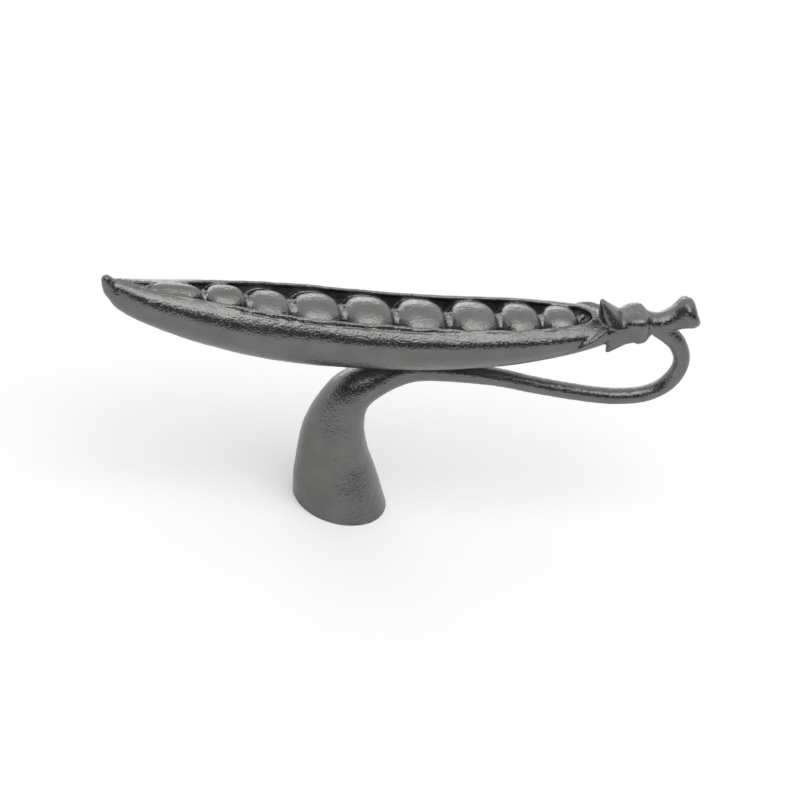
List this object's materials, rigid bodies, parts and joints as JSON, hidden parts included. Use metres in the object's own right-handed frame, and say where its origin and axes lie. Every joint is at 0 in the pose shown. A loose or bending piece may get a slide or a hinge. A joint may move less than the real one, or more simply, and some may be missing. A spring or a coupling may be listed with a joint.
{
  "type": "cabinet knob",
  "caption": "Cast metal cabinet knob shaped as an open bean pod; its stem curls back beneath the pod and swells into a round foot with a tapped hole.",
  "frame": {"origin": "middle of the foot's flat face, on the fixing screw's axis", "axes": "+Z away from the drawer front, +X along the pod towards its stem, -Z out of the tapped hole"},
  "size_m": [0.0989, 0.0154, 0.0436],
  "materials": {
    "cast_metal": "dark pewter, satin, fine cast grain"
  },
  "bodies": {
    "root": {"pod_knob_casting": "cast_metal"}
  },
  "joints": []
}
